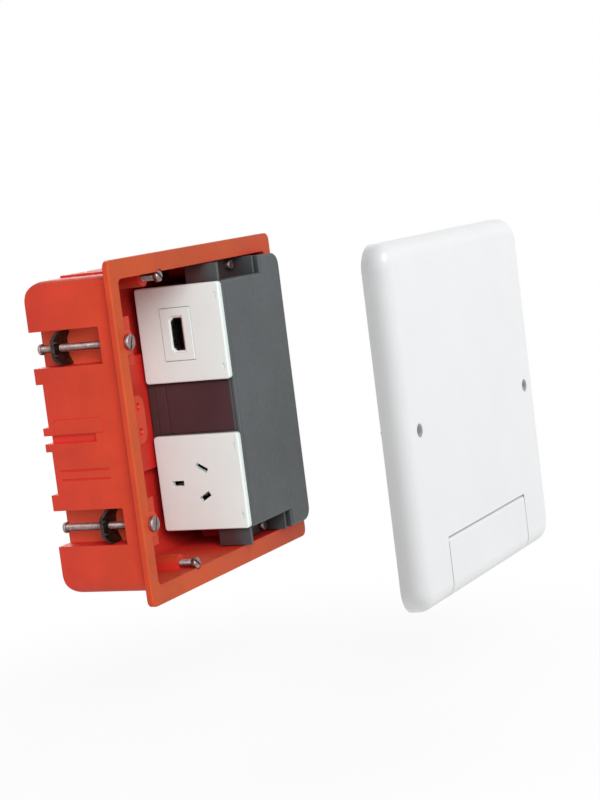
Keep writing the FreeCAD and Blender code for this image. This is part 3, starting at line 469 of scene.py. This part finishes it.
def mesh_of(shape, name):
    """A mesh from a bmesh, which is freed."""
    mesh = bpy.data.meshes.new(name)
    shape.to_mesh(mesh)
    shape.free()
    return mesh


def smoothed(mesh):
    """The same mesh, shaded smooth but for its sharp edges."""
    mesh.shade_smooth()
    mesh.set_sharp_from_angle(angle=math.radians(SHARP_ANGLE))
    return mesh


def turned(shape, x, z, rings, sides, ripple=None):
    """A closed turned form along Y from (y, radius) rings, with a ripple added to the radius."""
    loops = []
    for y, radius in rings:
        loop = []
        for i in range(sides):
            angle = 2 * math.pi * i / sides
            r = radius + (ripple(y, angle) if ripple else 0.0)
            loop.append(shape.verts.new((x + r * math.cos(angle), y, z + r * math.sin(angle))))
        loops.append(loop)
    for low, high in zip(loops, loops[1:]):
        for i in range(sides):
            j = (i + 1) % sides
            shape.faces.new((low[i], high[i], high[j], low[j]))
    shape.faces.new(loops[0])
    shape.faces.new(reversed(loops[-1]))


def arc(centre_y, centre_r, radius, start, end, steps):
    """(y, radius) rings along part of a circle, by angles in degrees from the +Y direction."""
    rings = []
    for i in range(steps + 1):
        angle = math.radians(start + (end - start) * i / steps)
        rings.append((centre_y + radius * math.cos(angle), centre_r + radius * math.sin(angle)))
    return rings


def with_slot(mesh, x, z, front, head_r, turn):
    """The mesh of a head with a straight slot cut across its front."""
    half = Matrix.Diagonal((SLOT_WIDTH / 2, SLOT_DEPTH, 2 * head_r, 1.0))
    place = Matrix.Translation((x, front, z)) @ Matrix.Rotation(-math.radians(turn), 4, "Y")
    shape = bmesh.new()
    bmesh.ops.create_cube(shape, size=2.0, matrix=place @ half)
    cutter = bpy.data.objects.new("slot", mesh_of(shape, "slot"))
    head = bpy.data.objects.new("head", mesh)
    for piece in (cutter, head):
        bpy.context.scene.collection.objects.link(piece)
    cut = head.modifiers.new("slot", "BOOLEAN")
    cut.operation = "DIFFERENCE"
    cut.object = cutter
    cut.solver = "EXACT"
    graph = bpy.context.evaluated_depsgraph_get()
    result = bpy.data.meshes.new_from_object(head.evaluated_get(graph))
    bpy.data.objects.remove(head)
    bpy.data.objects.remove(cutter)
    return result


def thread_ripple(start, end):
    """A rolled thread's radius change between two places along Y, run out at both ends."""
    def ripple(y, angle):
        turns = (y - start) / THREAD_PITCH - angle / (2 * math.pi)
        near_end = max(0.0, min(1.0, (y - start) / THREAD_PITCH, (end - y) / THREAD_PITCH))
        return -THREAD_DEPTH * near_end * (0.5 + 0.5 * math.cos(2 * math.pi * turns))
    return ripple


def screw_mesh(node, turn, spread_tip):
    """A slotted pan-head screw with a rolled thread, on its CAD solid's axis."""
    low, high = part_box(node)
    x, z = (low.x + high.x) / 2, (low.z + high.z) / 2
    head_r = (high.x - low.x) / 2
    seat = low.y + HEAD_DEPTH
    shape = bmesh.new()
    rim = arc(low.y + HEAD_DOME, head_r - HEAD_DOME, HEAD_DOME, 180, 90, DOME_STEPS)
    foot = arc(seat - HEAD_LIP, head_r - HEAD_LIP, HEAD_LIP, 90, 0, LIP_STEPS)
    turned(shape, x, z, [(low.y, head_r * HEAD_FLAT)] + rim + foot, HEAD_SIDES)
    bmesh.ops.recalc_face_normals(shape, faces=shape.faces)
    head = with_slot(mesh_of(shape, "head"), x, z, low.y, head_r, turn)
    shape = bmesh.new()
    shape.from_mesh(head)

    end = high.y - (SPREAD_TIP if spread_tip else SHAFT_R / 2)
    start = seat - HEAD_LIP
    step = THREAD_PITCH / RINGS_TO_PITCH
    count = int((end - start) / step)
    rings = [(start + (end - start) * i / count, SHAFT_R) for i in range(count + 1)]
    ripple = thread_ripple(seat + THREAD_PITCH, end)
    if spread_tip:
        burr = HEAD_LIP
        rings += arc(end + burr, SPREAD_TIP_R - burr, burr, 180, 90, LIP_STEPS)
        rings += arc(high.y - burr, SPREAD_TIP_R - burr, burr, 90, 0, LIP_STEPS)
    else:
        rings.append((high.y, SHAFT_R / 2))
    turned(shape, x, z, rings, SHAFT_SIDES, lambda y, a: ripple(y, a) if y > seat else 0.0)
    bmesh.ops.recalc_face_normals(shape, faces=shape.faces)
    return smoothed(mesh_of(shape, node + "_detailed"))


def screw_nodes():
    """Every visible screw: its node, the turn of its slot in degrees, and if its tip is spread."""
    for side, sign in (("left", -1), ("right", 1)):
        for row in ("upper", "lower"):
            yield f"clamp_screw_{row}_{side}", CLAMP_TURN * sign, True
        yield "cover_screw_" + side, COVER_TURN * sign, False
    for row in ("top", "bottom"):
        yield "box_screw_" + row, BOX_TURN, False
        yield "insert_screw_" + row, INSERT_TURN, False


def softened_mesh(node, width):
    """A copy of a node's mesh whose sharp edges are rounded by a width."""
    shape = bmesh.new()
    shape.from_mesh(NODES[node].data)
    bmesh.ops.remove_doubles(shape, verts=shape.verts, dist=WELD_DISTANCE)
    bmesh.ops.dissolve_limit(shape, angle_limit=math.radians(FLAT_ANGLE), verts=shape.verts,
                             edges=shape.edges)
    sharp = [e for e in shape.edges if len(e.link_faces) == 2
             and e.calc_face_angle() > math.radians(WORN_ANGLE)]
    bmesh.ops.bevel(shape, geom=sharp, offset=width, segments=2, profile=0.5, affect="EDGES",
                    clamp_overlap=True)
    return smoothed(mesh_of(shape, node + "_detailed"))


def add_details(materials):
    """The pieces that stand for plain solids: threaded screws, and claws with worn edges."""
    for node, turn, spread_tip in screw_nodes():
        stand_in(screw_mesh(node, turn, spread_tip), node, materials)
    for row in ("upper", "lower"):
        for side in ("left", "right"):
            node = f"clamp_claw_{row}_{side}"
            stand_in(softened_mesh(node, CLAW_EDGE), node, materials)


def flat_sheet(name, size, z):
    """A level square sheet, centred under the object."""
    mesh = bpy.data.meshes.new(name)
    half = size / 2
    corners = [(-half, -half, z), (half, -half, z), (half, half, z), (-half, half, z)]
    mesh.from_pydata(corners, [], [(0, 1, 2, 3)])
    sheet = bpy.data.objects.new(name, mesh)
    bpy.context.scene.collection.objects.link(sheet)
    return sheet


def ray_is_seen(tree):
    """1 for a ray that is seen directly, in a reflection or through glass."""
    path = tree.nodes.new("ShaderNodeLightPath")
    total = path.outputs["Is Camera Ray"]
    for name in ("Is Glossy Ray", "Is Transmission Ray"):
        add = tree.nodes.new("ShaderNodeMath")
        add.operation = "MAXIMUM"
        tree.links.new(total, add.inputs[0])
        tree.links.new(path.outputs[name], add.inputs[1])
        total = add.outputs[0]
    return total


def make_floor():
    """A pale floor that keeps a faint shadow near the object and is plain white further out."""
    floor = flat_sheet("floor", FLOOR_SIZE, CAD_BOX[0][2] - FLOOR_DROP)
    material = bpy.data.materials.new("pale_floor")
    material.use_nodes = True
    tree = material.node_tree
    tree.nodes.clear()
    output = tree.nodes.new("ShaderNodeOutputMaterial")
    matt = tree.nodes.new("ShaderNodeBsdfDiffuse")
    matt.inputs["Color"].default_value = FLOOR_COLOUR
    glow = tree.nodes.new("ShaderNodeEmission")
    mixed = tree.nodes.new("ShaderNodeMixShader")
    place = tree.nodes.new("ShaderNodeTexCoord")
    flat = tree.nodes.new("ShaderNodeVectorMath")
    flat.operation = "MULTIPLY"
    flat.inputs[1].default_value = (1.0, 1.0, 0.0)
    distance = tree.nodes.new("ShaderNodeVectorMath")
    distance.operation = "LENGTH"
    fade = tree.nodes.new("ShaderNodeMapRange")
    fade.interpolation_type = "SMOOTHSTEP"
    for name, value in zip(("From Min", "From Max", "To Min", "To Max"),
                           SHADOW_REACH + SHADOW_GLOW):
        fade.inputs[name].default_value = value
    share = tree.nodes.new("ShaderNodeMath")
    share.operation = "MULTIPLY"
    tree.links.new(place.outputs["Object"], flat.inputs[0])
    tree.links.new(flat.outputs["Vector"], distance.inputs[0])
    tree.links.new(distance.outputs["Value"], fade.inputs["Value"])
    tree.links.new(fade.outputs["Result"], share.inputs[0])
    tree.links.new(ray_is_seen(tree), share.inputs[1])
    tree.links.new(share.outputs[0], mixed.inputs["Fac"])
    tree.links.new(matt.outputs[0], mixed.inputs[1])
    tree.links.new(glow.outputs[0], mixed.inputs[2])
    tree.links.new(mixed.outputs[0], output.inputs["Surface"])
    floor.data.materials.append(material)


def make_world():
    """A soft grey sky that is seen as white."""
    world = bpy.data.worlds.new("studio")
    bpy.context.scene.world = world
    world.use_nodes = True
    tree = world.node_tree
    back = tree.nodes["Background"]
    level = tree.nodes.new("ShaderNodeMapRange")
    level.inputs["To Min"].default_value = SKY_LIGHT
    level.inputs["To Max"].default_value = 1.0
    tree.links.new(ray_is_seen(tree), level.inputs["Value"])
    tree.links.new(level.outputs["Result"], back.inputs["Strength"])
    back.inputs["Color"].default_value = (1.0, 1.0, 1.0, 1.0)


def area_light(name, at, target, size, power, lit):
    """A square soft light at a place, turned towards a target, for a group of objects."""
    light = bpy.data.lights.new(name, "AREA")
    light.shape = "SQUARE"
    light.size = size
    light.energy = power
    lamp = bpy.data.objects.new(name, light)
    lamp.location = at
    lamp.rotation_euler = (Vector(target) - Vector(at)).to_track_quat("-Z", "Y").to_euler()
    bpy.context.scene.collection.objects.link(lamp)
    group = bpy.data.collections.new("lit_by_" + name)
    for piece in lit:
        group.objects.link(piece)
    lamp.light_linking.receiver_collection = group


def make_lights():
    """Soft lights: on the box from its open side, on the cover from in front, and from behind."""
    pieces = [o for o in bpy.context.scene.objects if o.type == "MESH"]
    cover = [o for o in pieces if o.name.startswith("cover_")]
    others = [o for o in pieces if o not in cover]
    area_light("box_key", *BOX_KEY, others)
    area_light("cover_key", *COVER_KEY, cover)
    area_light("back_fill", *BACK_FILL, pieces)


def make_camera():
    """The photograph's camera, from its bearing, its tilt and its roll."""
    data = bpy.data.cameras.new("camera")
    data.lens = CAMERA_LENS
    data.sensor_width = CAMERA_SENSOR
    data.clip_end = CAMERA_SIGHT
    camera = bpy.data.objects.new("camera", data)
    look = (Matrix.Rotation(math.radians(-CAMERA_AZIMUTH), 4, "Z")
            @ Matrix.Rotation(math.radians(90.0 + CAMERA_ELEVATION), 4, "X")
            @ Matrix.Rotation(math.radians(CAMERA_ROLL), 4, "Z"))
    camera.matrix_world = Matrix.Translation(CAMERA_AT) @ look
    bpy.context.scene.collection.objects.link(camera)
    bpy.context.scene.camera = camera


def main():
    """Dress the part, add its finer pieces, then set the stage."""
    materials = make_materials()
    dress(materials)
    add_details(materials)
    make_floor()
    make_world()
    make_lights()
    make_camera()
    bpy.context.scene.view_settings.view_transform = "Standard"


main()
